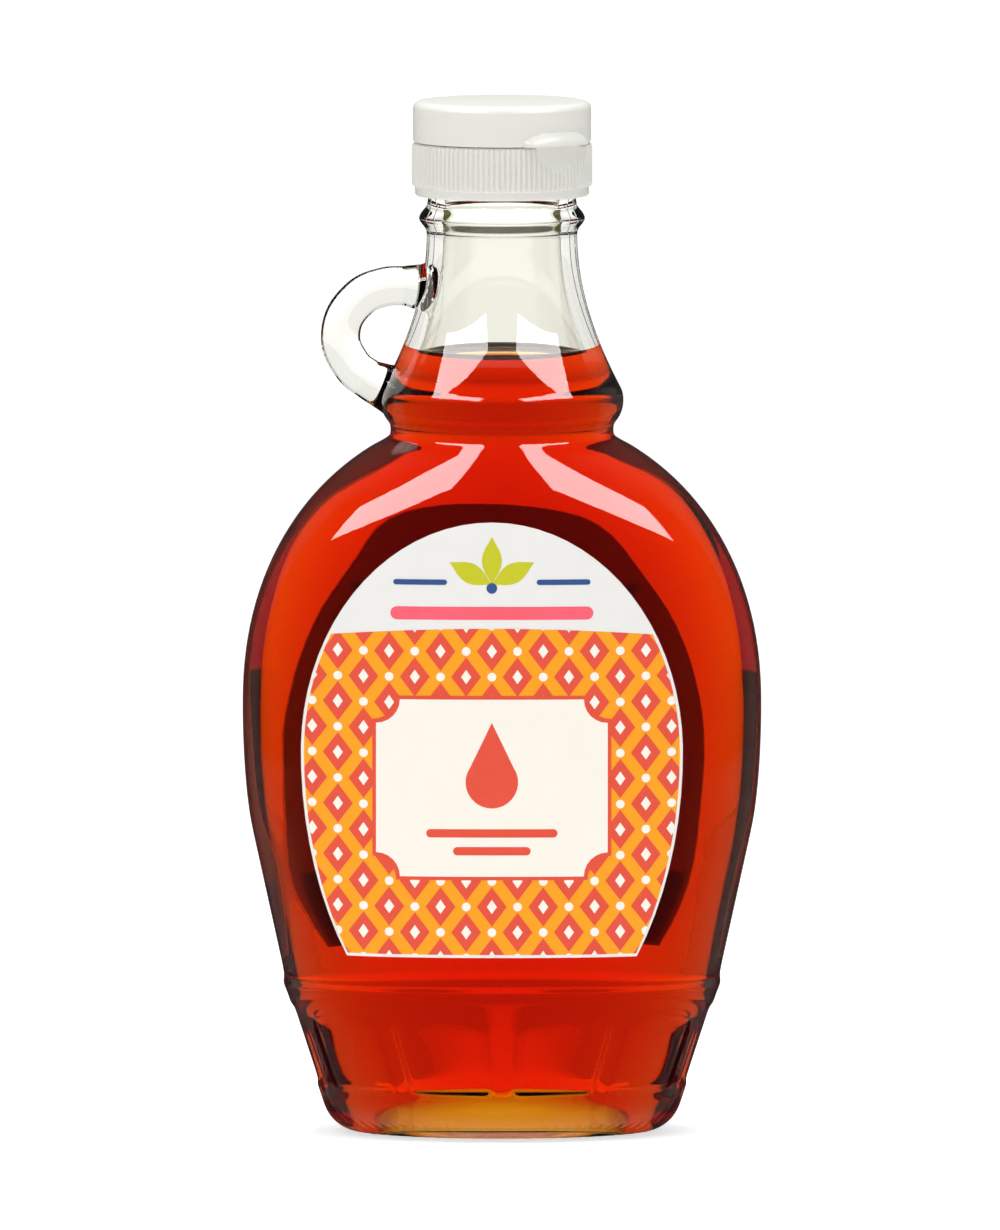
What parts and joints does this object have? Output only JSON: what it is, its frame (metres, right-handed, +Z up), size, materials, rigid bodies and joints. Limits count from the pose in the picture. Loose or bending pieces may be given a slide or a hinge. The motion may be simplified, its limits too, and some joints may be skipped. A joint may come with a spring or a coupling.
{
  "type": "maple syrup bottle",
  "caption": "Flat oval glass flask with a ring handle at the neck, filled with amber maple syrup, with a paper label on each face, a panelled base and a white flip-top cap.",
  "frame": {"origin": "Centre of the foot that the bottle stands on, at the bottom of the bounding box.", "axes": "+Z runs up the bottle to the cap. The front label faces -Y. The ring handle is towards -X."},
  "size_m": [0.0874, 0.0454, 0.174],
  "materials": {
    "glass": "clear, polished, faintly green",
    "syrup": "clear amber red liquid",
    "label_front": "satin printed paper, orange and white",
    "label_back": "satin paper, white",
    "cap": "satin moulded, warm white"
  },
  "bodies": {
    "root": {"bottle": "glass", "syrup": "syrup", "label_front": "label_front", "label_back": "label_back", "cap_skirt": "cap", "cap_lid": "cap"}
  },
  "joints": []
}
